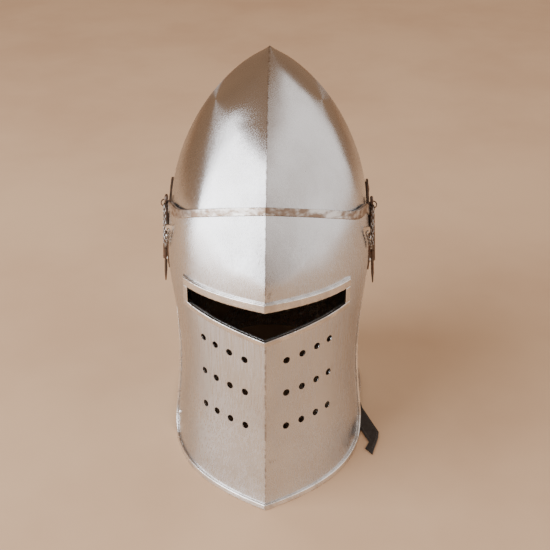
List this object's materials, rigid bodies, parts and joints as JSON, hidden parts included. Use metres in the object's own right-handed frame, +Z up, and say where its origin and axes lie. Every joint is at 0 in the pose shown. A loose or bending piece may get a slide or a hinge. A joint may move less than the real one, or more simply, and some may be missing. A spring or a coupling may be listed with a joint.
{
  "type": "visored bascinet helmet",
  "caption": "Pointed steel bascinet with a lifting visor that has a wide sight slot and breath holes, side hinges with chained lift-out pins, a leather liner and chin straps.",
  "frame": {"origin": "centre of the neck opening, on the surface the helmet stands on", "axes": "+Z up to the pointed crown, -Y is the way the face looks, +X is the wearer's left"},
  "size_m": [0.2317, 0.3289, 0.397],
  "materials": {
    "polished_steel": "satin polished, fine vertical grain",
    "rim_steel": "polished on the high edges",
    "dark_steel": "heat darkened",
    "chain_steel": "dull steel wire",
    "rivet_steel": "hammered heads",
    "black_leather": "black, stitched",
    "brown_leather": "vegetable tanned",
    "lace": "waxed thong"
  },
  "bodies": {
    "skull": {"buckle_frame": "rivet_steel", "chin_strap_long": "black_leather", "chin_strap_short": "black_leather", "liner_band": "brown_leather", "liner_lace": "lace", "liner_rivets": "rivet_steel", "liner_tongue_1": "brown_leather", "liner_tongue_2": "brown_leather", "liner_tongue_3": "brown_leather", "liner_tongue_4": "brown_leather", "liner_tongue_5": "brown_leather", "liner_tongue_6": "brown_leather", "liner_tongue_7": "brown_leather", "liner_tongue_8": "brown_leather", "pivot_rivet_left": "rivet_steel", "pivot_rivet_right": "rivet_steel", "pivot_spacer_left": "dark_steel", "pivot_spacer_right": "dark_steel", "skull_face_rim_left": "rim_steel", "skull_face_rim_right": "rim_steel", "skull_half_left": "polished_steel", "skull_half_right": "polished_steel", "skull_neck_rim": "rim_steel", "strap_rivets": "rivet_steel", "strap_washers": "rivet_steel"},
    "visor": {"chain_tab_left": "rim_steel", "chain_tab_right": "rim_steel", "hinge_leaf_rivets_left": "rivet_steel", "hinge_leaf_rivets_right": "rivet_steel", "pivot_arm_left": "dark_steel", "pivot_arm_right": "dark_steel", "sight_end_flange_left": "rim_steel", "sight_end_flange_right": "rim_steel", "sight_lower_rim_left": "rim_steel", "sight_lower_rim_right": "rim_steel", "sight_upper_rim_left": "rim_steel", "sight_upper_rim_right": "rim_steel", "visor_brow_band": "rim_steel", "visor_corner_rivet": "rivet_steel", "visor_edge_roll_left": "rim_steel", "visor_edge_roll_right": "rim_steel", "visor_half_left": "polished_steel", "visor_half_right": "polished_steel", "visor_hinge_leaf_left": "dark_steel", "visor_hinge_leaf_right": "dark_steel"},
    "left_pin": {"hinge_pin_left": "dark_steel", "pin_ring_left": "dark_steel", "chain_pin_strand_left": "chain_steel"},
    "left_chain": {"chain_tab_strand_left": "chain_steel"},
    "right_pin": {"hinge_pin_right": "dark_steel", "pin_ring_right": "dark_steel", "chain_pin_strand_right": "chain_steel"},
    "right_chain": {"chain_tab_strand_right": "chain_steel"},
    "buckle_prong": {"buckle_prong": "rivet_steel"}
  },
  "joints": [
    {"name": "visor_lift", "type": "hinge", "parent": "skull", "child": "visor", "pos_m": [0, 0.036, 0.2515], "axis": [-1, 0, 0], "range_deg": [0, 70]},
    {"name": "left_pin_pull", "type": "slide", "parent": "visor", "child": "left_pin", "axis": [-0.0628, 0, 0.998], "range_m": [0, 0.056]},
    {"name": "right_pin_pull", "type": "slide", "parent": "visor", "child": "right_pin", "axis": [0.0628, 0, 0.998], "range_m": [0, 0.056]},
    {"name": "left_chain_swing", "type": "hinge", "parent": "visor", "child": "left_chain", "pos_m": [0.0973, -0.04, 0.2445], "axis": [0.9232, -0.3799, 0.0581], "range_deg": [0, 130.48], "deforming": ["chain_tab_strand_left"]},
    {"name": "right_chain_swing", "type": "hinge", "parent": "visor", "child": "right_chain", "pos_m": [-0.0973, -0.04, 0.2445], "axis": [0.9232, 0.3799, -0.0581], "range_deg": [0, 130.48], "deforming": ["chain_tab_strand_right"]},
    {"name": "buckle_prong_swing", "type": "hinge", "parent": "skull", "child": "buckle_prong", "pos_m": [-0.0912, 0.02, 0.044], "axis": [0, -1, 0], "range_deg": [0, 100]}
  ],
  "couplings": [
    {"joint": "left_chain_swing", "follows": "left_pin_pull", "rad_per_m": 40.603},
    {"joint": "right_chain_swing", "follows": "right_pin_pull", "rad_per_m": 40.603}
  ]
}
